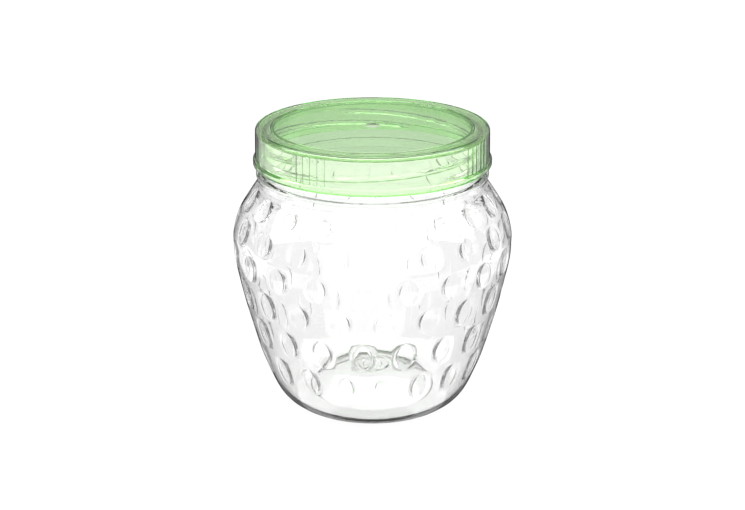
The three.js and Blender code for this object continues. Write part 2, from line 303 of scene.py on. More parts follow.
@dataclass(frozen=True)
class Thread:
    """A right-handed thread of several starts on one face of a wall."""

    side: Side
    wall: float  # radius of the face that it stands on
    stand: float
    root: float
    crest: float
    azimuth: float  # lower end of the first ridge
    foot: float  # height of a ridge's middle at its lower end
    turn: float  # degrees that a ridge covers
    lead: float  # rise of one turn
    starts: int = 3
    run_out: float = 9.0  # degrees over which a ridge fades

    def past_ends(self, azimuth: float) -> list[float]:
        """Return how many degrees an azimuth lies past the lower end of each ridge."""
        past_first = azimuth - self.azimuth
        return [(past_first - FULL_TURN * i / self.starts) % FULL_TURN for i in range(self.starts)]

    def height_at(self, point: Vector) -> float:
        """Say how far the thread stands out of the wall at a point.

        Args:
            point: A point on the wall.

        Returns:
            The height of the ridge there, nothing beside the ridges.
        """
        best = 0.0
        for along in self.past_ends(azimuth_of(point)):
            fade = min(1.0, along / self.run_out, (self.turn - along) / self.run_out)
            if fade > 0:
                width = abs(point.z - self.foot - self.lead * along / FULL_TURN) * 2
                flank = clamped((self.root - width) / (self.root - self.crest), 0.0, 1.0)
                best = max(best, self.stand * fade * eased(flank))
        return best

    def edges_at(self, azimuth: float) -> list[float]:
        """List the heights of the four edges of every ridge that passes an azimuth.

        Args:
            azimuth: The azimuth.

        Returns:
            The heights.
        """
        edges = []
        for along in self.past_ends(azimuth):
            if along > self.turn + self.run_out:
                along -= FULL_TURN
            if along >= -self.run_out:
                middle = self.foot + self.lead * along / FULL_TURN
                reaches = [side * width / 2 for width in (self.root, self.crest) for side in (-1, 1)]
                edges += [middle + reach for reach in reaches]
        return edges

    def cut(self, piece: bpy.types.Object) -> None:
        """Raise the ridges on a turned piece, by moving the points of the wall that carries them.

        The points nearest to a ridge's edges go onto them, and the faces are split along the ridge.

        Args:
            piece: The turned piece, whose wall is divided where the thread goes.
        """
        mesh = bmesh.new()
        mesh.from_mesh(piece.data)
        columns: dict[int, list[bmesh.types.BMVert]] = {}
        for vertex in mesh.verts:
            if abs(math.hypot(vertex.co.x, vertex.co.y) - self.wall) < ON_WALL:
                columns.setdefault(round(azimuth_of(vertex.co) * COLUMNS_PER_DEGREE), []).append(vertex)
        carried = set()
        for column in columns.values():
            column.sort(key=lambda vertex: vertex.co.z)
            inner = column[1:-1]
            carried.update(column)
            for height in self.edges_at(azimuth_of(column[0].co)):
                nearest = min(inner, key=lambda vertex: abs(vertex.co.z - height), default=None)
                if nearest and inner[0].co.z < height < inner[-1].co.z:
                    nearest.co.z = height
        for face in list(mesh.faces):
            if len(face.verts) == 4 and all(vertex in carried for vertex in face.verts):
                start = azimuth_of(min(face.verts, key=lambda vertex: vertex.co.z).co)
                left = sorted(face.verts, key=lambda vertex: turn_between(start, azimuth_of(vertex.co)))[:2]
                right = [vertex for vertex in face.verts if vertex not in left]
                low = min(left, key=lambda vertex: vertex.co.z)
                high = max(right, key=lambda vertex: vertex.co.z)
                bmesh.utils.face_split(face, low, high)
        for vertex in carried:
            out = math.hypot(vertex.co.x, vertex.co.y)
            grown = (out + self.side.value * self.height_at(vertex.co)) / out
            vertex.co.x *= grown
            vertex.co.y *= grown
        mesh.to_mesh(piece.data)
        mesh.free()


def node(
    tree: bpy.types.NodeTree, kind: str, inputs: dict[str | int, object] | None = None, **settings: object
) -> bpy.types.Node:
    """Add a node with its settings, and with a link or a value at each input that is named.

    Args:
        tree: The node tree.
        kind: The node's type, after the word ShaderNode.
        inputs: Input to its value, or to the socket that feeds it; a node stands for its first output.
        settings: Properties of the node.

    Returns:
        The node.
    """
    made = tree.nodes.new("ShaderNode" + kind)
    for name, value in settings.items():
        setattr(made, name, value)
    for socket, value in (inputs or {}).items():
        source = value.outputs[0] if isinstance(value, bpy.types.Node) else value
        if isinstance(source, bpy.types.NodeSocket):
            tree.links.new(source, made.inputs[socket])
        else:
            made.inputs[socket].default_value = value
    return made


def linear(hex_colour: str) -> tuple[float, float, float, float]:
    """Turn an sRGB hex colour into the linear colour that a shader takes.

    Args:
        hex_colour: The colour, as # and six digits.

    Returns:
        Red, green and blue, and full cover.
    """
    channels = [int(hex_colour[i : i + 2], 16) / 255 for i in (1, 3, 5)]
    straight = [c / 12.92 if c <= 0.04045 else ((c + 0.055) / 1.055) ** 2.4 for c in channels]
    return (*straight, 1.0)


def blank_material(name: str) -> bpy.types.Material:
    """Make a material with an empty node tree.

    Args:
        name: Name of the material.

    Returns:
        The material.
    """
    material = bpy.data.materials.new(name)
    material.use_nodes = True
    material.node_tree.nodes.clear()
    return material


@dataclass(frozen=True)
class Mottle:
    """Soft uneven patches of a real size, by which a finish varies over a piece."""

    size: float
    detail: float
    roughness: float = 0.5
    distortion: float = 0.0

    def over(self, tree: bpy.types.NodeTree, place: bpy.types.NodeSocket) -> bpy.types.Node:
        """Lay the patches through a piece, by its own coordinates, and return their strength."""
        grain = {"Detail": self.detail, "Roughness": self.roughness, "Distortion": self.distortion}
        return node(tree, "TexNoise", {"Vector": place, "Scale": 1 / self.size, **grain})

    def gloss(
        self,
        tree: bpy.types.NodeTree,
        place: bpy.types.NodeSocket,
        strengths: tuple[float, float],
        roughnesses: tuple[float, float],
    ) -> bpy.types.Node:
        """Dull a surface where the patches are strong.

        Args:
            tree: The material's node tree.
            place: The piece's own coordinates.
            strengths: Where a patch begins and where it is full.
            roughnesses: Roughness outside a patch and in the middle of one.

        Returns:
            A node with the roughness.
        """
        (begin, full), (bright, dull) = strengths, roughnesses
        ends = {"From Min": begin, "From Max": full, "To Min": bright, "To Max": dull}
        return node(tree, "MapRange", {"Value": self.over(tree, place), **ends})

    def bump(
        self, tree: bpy.types.NodeTree, place: bpy.types.NodeSocket, depth: float
    ) -> bpy.types.Node:
        """Raise a surface where the patches are strong, by a depth in metres."""
        return node(tree, "Bump", {"Height": self.over(tree, place), "Strength": 1.0, "Distance": depth})


@dataclass(frozen=True)
class BlownPolyester:
    """Clear PET, stretched and blown against a polished mould.

    It is nearly colourless and as glossy as glass. The eye gets sharp reflections, dark lines where the wall
    turns away, and a faint waviness that the blowing leaves.
    """

    colour: str = "#FEFEFE"
    ior: float = 1.6
    scuffs: Mottle = Mottle(22.0 * MM, detail=3.0, roughness=0.6)  # patches that handling has dulled
    scuff_strengths: tuple[float, float] = (0.55, 0.8)
    roughnesses: tuple[float, float] = (0.0, 0.01)
    ripples: Mottle = Mottle(9.0 * MM, detail=1.0)
    ripple_depth: float = 0.003 * MM

    def make(self) -> bpy.types.Material:
        """Build the material.

        Returns:
            The material.
        """
        material = blank_material("clear_blown_polyester")
        tree = material.node_tree
        place = node(tree, "TexCoord").outputs["Object"]
        shader = node(
            tree,
            "BsdfPrincipled",
            {
                "Base Color": linear(self.colour),
                "Roughness": self.scuffs.gloss(tree, place, self.scuff_strengths, self.roughnesses),
                "Normal": self.ripples.bump(tree, place, self.ripple_depth),
                "IOR": self.ior,
                "Transmission Weight": 1.0,
            },
        )
        node(tree, "OutputMaterial", {"Surface": shader})
        return material


@dataclass(frozen=True)
class GreenPolypropylene:
    """Clarified polypropylene with a little green in it, injection moulded in a polished tool.

    It is clear enough to show the thread behind it, and its colour deepens where the eye looks along a wall,
    so the green sits in the depth of the plastic. The flow from the gate leaves faint patches in the gloss.
    """

    tint: str = "#B0FD66"  # what is left of white light after the depth below
    tint_depth: float = 8.0 * MM
    surface_tint: str = "#F5FEEF"
    panel_tint: str = "#D8F7CC"
    mark_radius: float = 3.7 * MM  # painted highlight: inside this radius the gate mark is left paler than the panel round it
    ior: float = 1.49
    flow: Mottle = Mottle(16.0 * MM, detail=4.0, distortion=0.6)
    flow_strengths: tuple[float, float] = (0.5, 0.8)
    roughnesses: tuple[float, float] = (0.0, 0.02)
    ripples: Mottle = Mottle(7.0 * MM, detail=2.0)
    ripple_depth: float = 0.004 * MM

    def surface_colour(self, tree: bpy.types.NodeTree, place: bpy.types.NodeSocket) -> bpy.types.NodeSocket:
        """Tint the panel round its gate mark more than the rest, and leave the gate mark itself paler as a
        painted highlight.

        Args:
            tree: The material's node tree.
            place: The piece's own coordinates.

        Returns:
            The colour.
        """
        axes = node(tree, "SeparateXYZ", {0: place}).outputs
        flat = node(tree, "CombineXYZ", {"X": axes["X"], "Y": axes["Y"]})
        out = node(tree, "VectorMath", {0: flat}, operation="LENGTH").outputs["Value"]
        within = node(tree, "Math", {0: out, 1: PANEL_RADIUS}, operation="LESS_THAN")
        # inside the gate mark the paler surface tint stays, as a painted highlight
        beyond = node(tree, "Math", {0: out, 1: self.mark_radius}, operation="GREATER_THAN")
        panel = node(tree, "Math", {0: within, 1: beyond}, operation="MULTIPLY")
        tints = {MIX_FIRST: linear(self.surface_tint), MIX_SECOND: linear(self.panel_tint)}
        return node(tree, "Mix", {"Factor": panel, **tints}, data_type="RGBA").outputs[MIX_RESULT]

    def make(self) -> bpy.types.Material:
        """Build the material.

        Returns:
            The material.
        """
        material = blank_material("green_clarified_polypropylene")
        tree = material.node_tree
        place = node(tree, "TexCoord").outputs["Object"]
        shader = node(
            tree,
            "BsdfPrincipled",
            {
                "Base Color": self.surface_colour(tree, place),
                "Roughness": self.flow.gloss(tree, place, self.flow_strengths, self.roughnesses),
                "Normal": self.ripples.bump(tree, place, self.ripple_depth),
                "IOR": self.ior,
                "Transmission Weight": 1.0,
            },
        )
        depth = node(tree, "VolumeAbsorption", {"Color": linear(self.tint), "Density": 1 / self.tint_depth})
        node(tree, "OutputMaterial", {"Surface": shader, "Volume": depth})
        return material


@dataclass(frozen=True)
class SoftElastomer:
    """Unpigmented thermoplastic elastomer, moulded satin.

    It is milky and slightly soft in its shine, and it hides behind the lid's rim.
    """

    colour: str = "#F2F8EF"
    ior: float = 1.48
    roughness: float = 0.12
    veil: float = 0.3  # how much of it shows, since it lies pressed against the lid without an air gap
    grain: Mottle = Mottle(0.6 * MM, detail=2.0)
    grain_depth: float = 0.004 * MM

    def make(self) -> bpy.types.Material:
        """Build the material.

        Returns:
            The material.
        """
        material = blank_material("milky_soft_elastomer")
        tree = material.node_tree
        place = node(tree, "TexCoord").outputs["Object"]
        milky = node(
            tree,
            "BsdfPrincipled",
            {
                "Base Color": linear(self.colour),
                "Roughness": self.roughness,
                "Normal": self.grain.bump(tree, place, self.grain_depth),
                "IOR": self.ior,
                "Transmission Weight": 1.0,
            },
        )
        wetted = node(tree, "BsdfTransparent", {"Color": linear(self.colour)})
        pressed = node(tree, "MixShader", {0: self.veil, 1: wetted, 2: milky})
        node(tree, "OutputMaterial", {"Surface": pressed})
        return material


@dataclass
class NeckFit:
    """The sizes that the jar's neck, the sealing ring and the lid share."""

    neck_wall: float = 2.0 * MM
    thread_stand: float = 1.1 * MM
    thread_clearance: float = 0.4 * MM
    thread_root: float = 1.9 * MM
    thread_crest: float = 1.1 * MM
    thread_turn: float = 167.0
    thread_azimuth: float = 35.0
    thread_drop: float = 3.1 * MM  # mouth rim to the upper end of a ridge
    seal_overlap: float = 0.9 * MM  # how far the ring reaches past the rim, inwards and outwards
    lead: float = 16.0 * MM

    def __post_init__(self) -> None:
        """Read the rim, the ring's seat and the neck from the frame, and work out what fits them."""
        ring_low, ring_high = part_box("sealing_ring")
        self.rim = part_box("jar_body")[1].z
        self.seal_low, self.seal_high = ring_low.z, ring_high.z
        self.neck_radius = ring_high.x - self.seal_overlap
        self.mouth_radius = self.neck_radius - self.neck_wall
        self.lid_inner = self.neck_radius + self.thread_stand + self.thread_clearance
        self.ridge_foot = self.rim - self.thread_drop - self.lead * self.thread_turn / FULL_TURN

    def neck_thread(self) -> Thread:
        """Lay out the thread on the outside of the neck.

        Returns:
            The thread.
        """
        return Thread(
            side=Side.OUTSIDE,
            wall=self.neck_radius,
            stand=self.thread_stand,
            root=self.thread_root,
            crest=self.thread_crest,
            azimuth=self.thread_azimuth,
            foot=self.ridge_foot,
            turn=self.thread_turn,
            lead=self.lead,
        )


@dataclass
class BlownJar:
    """The clear jar: base with its push-up, dented wall, bead and threaded neck."""

    fit: NeckFit
    name: str = "clear_jar"
    wall: float = 0.6 * MM
    heel_radius: float = 46.9 * MM
    heel_height: float = 13.0 * MM
    stand_radius: float = 34.0 * MM
    stand_width: float = 6.5 * MM
    base_wall: float = 1.5 * MM
    dome_rise: float = 10.0 * MM
    boss_radius: float = 7.8 * MM
    boss_step: float = 0.5 * MM
    gate_radius: float = 4.0 * MM
    gate_step: float = 0.9 * MM
    gate_draft: float = 0.4 * MM
    ledge_gap: float = 3.65 * MM  # bare neck between the lid and the bead
    bead_stand: float = 3.05 * MM
    bead_height: float = 1.2 * MM
    waist_stand: float = 2.15 * MM
    waist_drop: float = 4.4 * MM
    waist_ease: float = 1.2 * MM
    rim_round: float = 0.5 * MM
    neck_ease: float = 3.0 * MM
    neck_foot_wall: float = 1.8 * MM  # the wall is thicker where the neck meets it
    neck_foot_share: float = 0.94  # from here up the wall thickens
    dents_around: int = 20
    dent_azimuth: float = 5.0
    dent_depth: float = 0.9 * MM
    facets_across: int = 12  # of one dent's field, an even number so that the rows interlock
    facets_up: int = 8
    thread_facet: float = 0.48 * MM
    dome_facets: int = 8
    heel_facets: int = 10
    waist_facets: int = 8
    crisp_angle: float = 80.0

    # The wall from the heel to the belly, and from there to the waist: height, then how far it has swelled.
    lower_wall_shares: ClassVar[Shares] = (
        (0, 0),
        (0.105, 0.242),
        (0.22, 0.438),
        (0.357, 0.657),
        (0.495, 0.841),
        (0.621, 0.98),
    )
    upper_wall_shares: ClassVar[Shares] = ((0.688, 1), (0.75, 0.98), (0.839, 0.776), (0.931, 0.36), (1, 0))
    samples_per_stretch: ClassVar[int] = 60
    # The rows of dents, from the heel up, as places along the wall.
    dent_row_shares: ClassVar[tuple[float, ...]] = (0.115, 0.303, 0.49, 0.648, 0.792, 0.926)
    # A dent in its field: half its width and half its length.
    dent_size_shares: ClassVar[tuple[float, float]] = (0.205, 0.43)
    dent_pinch_power: ClassVar[float] = 1.5  # how its outline draws in towards its tips
    dent_fade_power: ClassVar[float] = 1.4  # how it grows shallower towards them
    # The loops round a dent on each face of the wall: how far out towards the field's edge, or in towards
    # the dent's middle where negative, then how deep.
    dent_loop_shares: ClassVar[dict[Side, Shares]] = {
        Side.OUTSIDE: (
            (1.0, 0.0),
            (0.5, 0.0),
            (0.04, 0.0),
            (0.0, 0.01),
            (-0.02, 0.08),
            (-0.07, 0.36),
            (-0.14, 0.52),
            (-0.35, 0.78),
        ),
        Side.INSIDE: (
            (1.0, 0.0),
            (0.5, 0.0),
            (0.045, 0.03),
            (0.003, 0.36),
            (-0.1, 0.52),
            (-0.35, 0.78),
        ),
    }
    # More cuts across the topmost row of fields, where the wall curves into the waist, up from its middle.
    waist_cut_shares: ClassVar[tuple[float, ...]] = (0.05, 0.2, 0.33, 0.44)
    waist_cut_slack: ClassVar[float] = 0.001  # points nearer than this to a cut lie on it
    # The base: how far the flat round the gate reaches, of its disc; the dome's two handles, out and up; the
    # heel's handles, of its width; and the rounding inside the ring that it stands on, of the ring's width.
    boss_flat_share: ClassVar[float] = 1.2
    dome_handle_shares: ClassVar[Shares] = ((0.62, 1.0), (0.93, 0.45))
    heel_handle_share: ClassVar[float] = 0.62
    stand_round_share: ClassVar[float] = 0.125

    def __post_init__(self) -> None:
        """Take the belly from the frame and lay out the wall's curve and the rows of dents."""
        self.belly_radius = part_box("jar_body")[1].x
        self.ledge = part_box("lid")[0].z - self.ledge_gap
        self.waist_height = self.ledge - self.waist_drop
        self.waist_radius = self.fit.neck_radius + self.waist_stand
        self.dome_radius = self.stand_radius - self.stand_width
        self.columns = self.dents_around * self.facets_across
        self.walk = self.sampled_wall()
        self.edges = self.row_edges()

    def sampled_wall(self) -> list[tuple[float, Vector]]:
        """Sample the wall's outer curve.

        Returns:
            Points from the heel to the waist, each after its share of the way along.
        """
        rise = self.waist_height - self.heel_height
        knots = [
            Vector((foot + (self.belly_radius - foot) * out, self.heel_height + rise * up))
            for foot, shares in (
                (self.heel_radius, self.lower_wall_shares),
                (self.waist_radius, self.upper_wall_shares),
            )
            for up, out in shares
        ]
        samples = []
        for i in range(len(knots) - 1):
            p0, p1, p2, p3 = (knots[clamped(k, 0, len(knots) - 1)] for k in range(i - 1, i + 3))
            for step in range(self.samples_per_stretch):
                t = step / self.samples_per_stretch
                samples.append(
                    p1 * (2 * t**3 - 3 * t**2 + 1)
                    + (p2 - p0) / 2 * (t**3 - 2 * t**2 + t)
                    + p2 * (3 * t**2 - 2 * t**3)
                    + (p3 - p1) / 2 * (t**3 - t**2)
                )
        samples.append(knots[-1])
        lengths = [0.0]
        for here, there in zip(samples, samples[1:]):
            lengths.append(lengths[-1] + (there - here).length)
        return [(length / lengths[-1], sample) for length, sample in zip(lengths, samples)]

    def wall_at(self, share: float) -> tuple[Vector, Vector]:
        """Find a place on the wall's outer outline.

        Args:
            share: How far along, from the heel to the waist.

        Returns:
            The point, and the direction square out of the wall.
        """
        share, last = clamped(share, 0.0, 1.0), len(self.walk) - 1
        low = clamped(bisect_right(self.walk, share, key=lambda sample: sample[0]) - 1, 0, last - 1)
        (behind, here, there, ahead) = (self.walk[clamped(i, 0, last)] for i in range(low - 1, low + 3))
        t = (share - here[0]) / (there[0] - here[0])
        arriving, leaving = (there[1] - behind[1]).normalized(), (ahead[1] - here[1]).normalized()
        along = arriving.lerp(leaving, t).normalized()
        return here[1].lerp(there[1], t), Vector((along.y, -along.x))

    def thickness_at(self, share: float) -> float:
        """Return the wall's thickness at a share of the way from the heel to the waist."""
        up = clamped((share - self.neck_foot_share) / (1 - self.neck_foot_share), 0.0, 1.0)
        return self.wall + (self.neck_foot_wall - self.wall) * eased(up)

    def row_edges(self) -> list[float]:
        """Find where the rows of dents begin and end.

        Returns:
            The edges of the rows, as shares of the way along the wall.
        """
        rows = self.dent_row_shares
        edges = [(a + b) / 2 for a, b in zip(rows, rows[1:])]
        return [max(0.0, 2 * rows[0] - edges[0]), *edges, min(1.0, 2 * rows[-1] - edges[-1])]

    def dent_loop(
        self, field: list[Vector], almond: list[Vector], reach: float, depth: float
    ) -> list[Vector]:
        """Lay one loop round a dent.

        Args:
            field: The edge of the dent's field.
            almond: The dent's outline, point for point.
            reach: How far out towards the field's edge, or in towards the dent's middle where negative.
            depth: How deep it lies halfway along the dent, of the full depth.

        Returns:
            The loop's points.
        """
        if reach < 0:
            flat = [point * (1 + reach) for point in almond]
        else:
            flat = [point.lerp(outer, reach) for point, outer in zip(almond, field)]
        length = self.dent_size_shares[1]
        fade = [1 - min(1.0, abs(point.y) / length) ** self.dent_fade_power for point in flat]
        return [Vector((point.x, point.y, -depth * kept)) for point, kept in zip(flat, fade)]

    def dent_field(self, side: Side) -> bpy.types.Object:
        """Model one dent in its field, laid flat, one unit wide and one high.

        Args:
            side: The face of the wall that it is for.

        Returns:
            The field, its depth in units of the full depth.
        """
        across, up = self.facets_across, self.facets_up
        edge = [Vector((i / across - 0.5, -0.5)) for i in range(across)]
        edge += [Vector((0.5, i / up - 0.5)) for i in range(up)]
        edge += [Vector((0.5 - i / across, 0.5)) for i in range(across)]
        edge += [Vector((-0.5, 0.5 - i / up)) for i in range(up)]
        width, length = self.dent_size_shares
        almond = []
        for point in edge:
            turn = math.atan2(point.y, point.x)
            pinch = math.copysign(abs(math.cos(turn)) ** self.dent_pinch_power, math.cos(turn))
            almond.append(Vector((width * pinch, length * math.sin(turn))))
        loops = [self.dent_loop(edge, almond, *shares) for shares in self.dent_loop_shares[side]]

        Bench.clear()
        bpy.ops.mesh.primitive_circle_add(vertices=len(edge), radius=1, fill_type="NOTHING")
        field = bpy.context.object
        Bench.mode("EDIT")
        mesh = bmesh.from_edit_mesh(field.data)
        for vertex, place in zip(mesh.verts, loops[0]):
            vertex.co = place
        for last, places in zip(loops, loops[1:]):
            bpy.ops.mesh.extrude_region_move()
            mesh = bmesh.from_edit_mesh(field.data)
            for vertex in (v for v in mesh.verts if v.select):
                nearest = min(range(len(last)), key=lambda i: (last[i] - vertex.co).length_squared)
                vertex.co = places[nearest]
        bpy.ops.mesh.extrude_region_move()
        bpy.ops.mesh.merge(type="CENTER")
        mesh = bmesh.from_edit_mesh(field.data)
        for vertex in (v for v in mesh.verts if v.select):
            vertex.co = Vector((0, 0, -1))
        Bench.mode("OBJECT")
        return field

    def wrapped(self, place: Vector, side: Side) -> Vector:
        """Carry a point of the flat fields to its place on the jar.

        Args:
            place: Fields round the jar, fields up from the middle of the lowest row, and depth.
            side: The face of the wall that it belongs to.

        Returns:
            The place on the jar.
        """
        rows_up = clamped(place.y + 0.5, 0.0, len(self.edges) - 1.0)
        row = min(int(rows_up), len(self.edges) - 2)
        share = self.edges[row] + (self.edges[row + 1] - self.edges[row]) * (rows_up - row)
        point, outward = self.wall_at(share)
        inset = self.thickness_at(share) if side is Side.INSIDE else 0.0
        point -= outward * (inset - place.z * self.dent_depth)
        return polar(point.x, self.dent_azimuth + FULL_TURN / self.dents_around * place.x, point.y)

    def dented_wall(self, side: Side) -> bpy.types.Object:
        """Repeat the dent's field over the whole wall and wrap it round the jar.

        Args:
            side: The face of the wall to make.

        Returns:
            The wall's face.
        """
        lower = self.dent_field(side)
        Bench.pick(lower)
        bpy.ops.object.duplicate()
        upper = bpy.context.object
        Bench.reshape(upper, lambda place: place + Vector((0.5, 1, 0)))
        face = Bench.joined("dented_wall", [lower, upper])
        rows = len(self.dent_row_shares)
        for count, step in ((self.dents_around, (1, 0, 0)), (rows // 2, (0, 2, 0))):
            offset = {"use_constant_offset": True, "constant_offset_displace": step}
            Bench.modified(face, "ARRAY", count=count, use_relative_offset=False, **offset)
        Bench.pick(face)
        Bench.mode("EDIT")
        for share in self.waist_cut_shares:
            bpy.ops.mesh.select_all(action="SELECT")
            cut = (0, rows - 1 + share, 0)
            bpy.ops.mesh.bisect(plane_co=cut, plane_no=(0, 1, 0), threshold=self.waist_cut_slack)
        Bench.mode("OBJECT")
        Bench.reshape(face, lambda place: self.wrapped(place, side))
        return face

    def base_outline(self, side: Side) -> list[Vector]:
        """Draw the base from its middle to the foot of the wall.

        Args:
            side: The underside, or the floor inside.

        Returns:
            The outline's points.
        """
        flat_end = self.boss_radius * self.boss_flat_share
        if side is Side.INSIDE:
            lift, inset = self.base_wall, self.wall
            top = self.dome_rise + lift
            ease, low = self.boss_step / 2, top - self.boss_step
            middle = [
                Corner(0, top),
                Corner(self.boss_radius - self.boss_step, top, ease),
                Corner(self.boss_radius, low, ease),
                Corner(flat_end, low),
            ]
        else:
            lift, inset = 0.0, 0.0
            top = self.dome_rise
            ease, low = self.gate_draft / 2, top - self.gate_step
            middle = [
                Corner(0, low),
                Corner(self.gate_radius, low, ease),
                Corner(self.gate_radius + self.gate_draft, top, ease),
                Corner(flat_end, top),
            ]
        shoulder, boss_edge = Vector((self.dome_radius, lift)), middle[-1].at
        (lead_out, _), (arrival_out, arrival_up) = self.dome_handle_shares
        lead = Vector((self.dome_radius * lead_out, boss_edge.y))
        arrival = Vector((self.dome_radius * arrival_out, lift + self.dome_rise * arrival_up))
        dome = curved(boss_edge, lead, arrival, shoulder, self.dome_facets)
        foot, outward = self.wall_at(self.edges[0])
        foot = foot - outward * inset
        along = Vector((-outward.y, outward.x))
        stand = Vector((self.stand_radius, lift))
        reach = (foot.x - stand.x) * self.heel_handle_share
        heel = curved(stand, stand + Vector((reach, 0)), foot - along * reach, foot, self.heel_facets)
        stand_round = self.stand_width * self.stand_round_share
        ring = [Corner(*dome[-2]), Corner(*shoulder, stand_round), Corner(*heel[0])]
        return [*rounded(middle), *dome[1:-1], *rounded(ring)[1:-1], *heel]

    def neck_outline(self) -> list[Vector]:
        """Draw the neck from the wall's outer face, over the rim, to its inner face.

        Returns:
            The outline's points.
        """
        outer, outward = self.wall_at(self.edges[-1])
        inner = outer - outward * self.thickness_at(self.edges[-1])
        along = Vector((-outward.y, outward.x))
        neck, mouth, rim = self.fit.neck_radius, self.fit.mouth_radius, self.fit.rim
        bead, bead_low = neck + self.bead_stand, self.ledge - self.bead_height
        ease = self.rim_round
        lead = outer + along * self.waist_ease
        arrival = Vector((self.waist_radius, self.waist_height + self.waist_ease / 2))
        groove = curved(outer, lead, arrival, Vector((self.waist_radius, bead_low)), self.waist_facets)
        corners = [
            Corner(*groove[-1]),
            Corner(bead, bead_low, ease / 2),
            Corner(bead, self.ledge, ease),
            Corner(neck, self.ledge, ease),
            Corner(neck, rim, ease),
            Corner(mouth, rim, ease),
            Corner(mouth, self.ledge + self.neck_ease, self.neck_ease),
            Corner(*(inner + along * self.waist_ease), self.waist_ease),
            Corner(*inner),
        ]
        thread = self.fit.neck_thread()
        low = thread.foot - thread.root
        high = rim - self.fit.thread_drop + thread.root
        outline = groove[:-1] + rounded(corners)
        peak = max(range(len(outline)), key=lambda i: outline[i].y)
        return divided(outline[: peak + 1], low, high, self.thread_facet) + outline[peak + 1 :]

    def build(self) -> bpy.types.Object:
        """Model the jar.

        Returns:
            The finished jar, closed and smooth.
        """
        turned = [
            Bench.turned(name, outline, self.columns, self.dent_azimuth)
            for name, outline in (
                ("underside", self.base_outline(Side.OUTSIDE)),
                ("floor", self.base_outline(Side.INSIDE)),
                ("neck", self.neck_outline()),
            )
        ]
        self.fit.neck_thread().cut(turned[-1])
        walls = [self.dented_wall(side) for side in (Side.OUTSIDE, Side.INSIDE)]
        jar = Bench.joined(self.name, walls + turned)
        Bench.sealed(jar, self.crisp_angle)
        Bench.flattened(jar)
        return jar

    def dress(self, finish: BlownPolyester) -> bpy.types.Object:
        """Model the jar, give it its finish and set it on its body.

        Args:
            finish: What it is made of.

        Returns:
            The dressed jar.
        """
        jar = self.build()
        jar.data.materials.append(finish.make())
        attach(jar, "jar")
        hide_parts("jar_body")
        return jar


